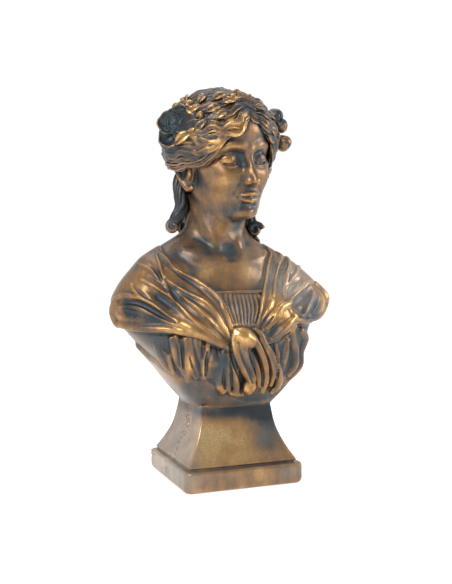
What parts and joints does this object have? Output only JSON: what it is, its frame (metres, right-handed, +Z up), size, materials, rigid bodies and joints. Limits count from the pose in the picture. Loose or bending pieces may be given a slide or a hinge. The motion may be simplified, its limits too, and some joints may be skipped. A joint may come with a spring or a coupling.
{
  "type": "female bust",
  "caption": "Decorative draped female bust with flowers in waved hair, in antique bronze finish, cast as one with a concave square socle and slab.",
  "frame": {"origin": "centre of the slab's flat underside, where the bust stands", "axes": "+Z up, the bust's chest faces -Y, +X is the bust's own left"},
  "size_m": [0.2, 0.1222, 0.34],
  "materials": {
    "bronze_patina": "cast resin painted antique bronze: semi-gloss golden brown on the raised forms, blue-grey to black patina in the hollows"
  },
  "bodies": {
    "root": {"female_bust": "bronze_patina"}
  },
  "joints": []
}
